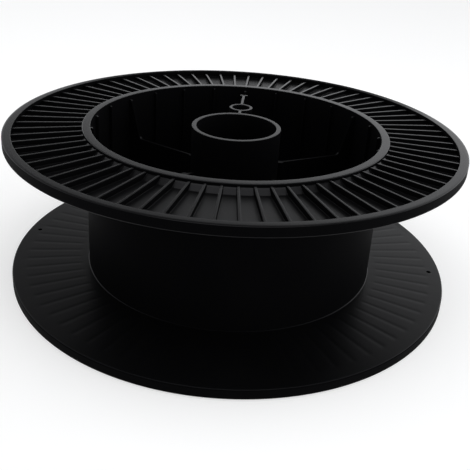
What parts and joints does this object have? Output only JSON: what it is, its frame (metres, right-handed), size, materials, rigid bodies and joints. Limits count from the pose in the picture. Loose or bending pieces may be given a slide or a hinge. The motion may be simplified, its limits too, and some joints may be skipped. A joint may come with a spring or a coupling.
{
  "type": "plastic spool",
  "caption": "Black moulded plastic spool with ribbed round flanges, a wide hollow drum, six webs and a central hub with a driving hole.",
  "frame": {"origin": "on the bore's axis, at the height of the lower inner rim that the spool stands on", "axes": "+Z along the bore's axis, from the flange it stands on to the other one; +Y from the bore towards the driving hole"},
  "size_m": [0.3, 0.3, 0.103],
  "materials": {
    "black_plastic": "satin injection moulded, as taken from the mould"
  },
  "bodies": {
    "root": {"spool": "black_plastic"}
  },
  "joints": []
}
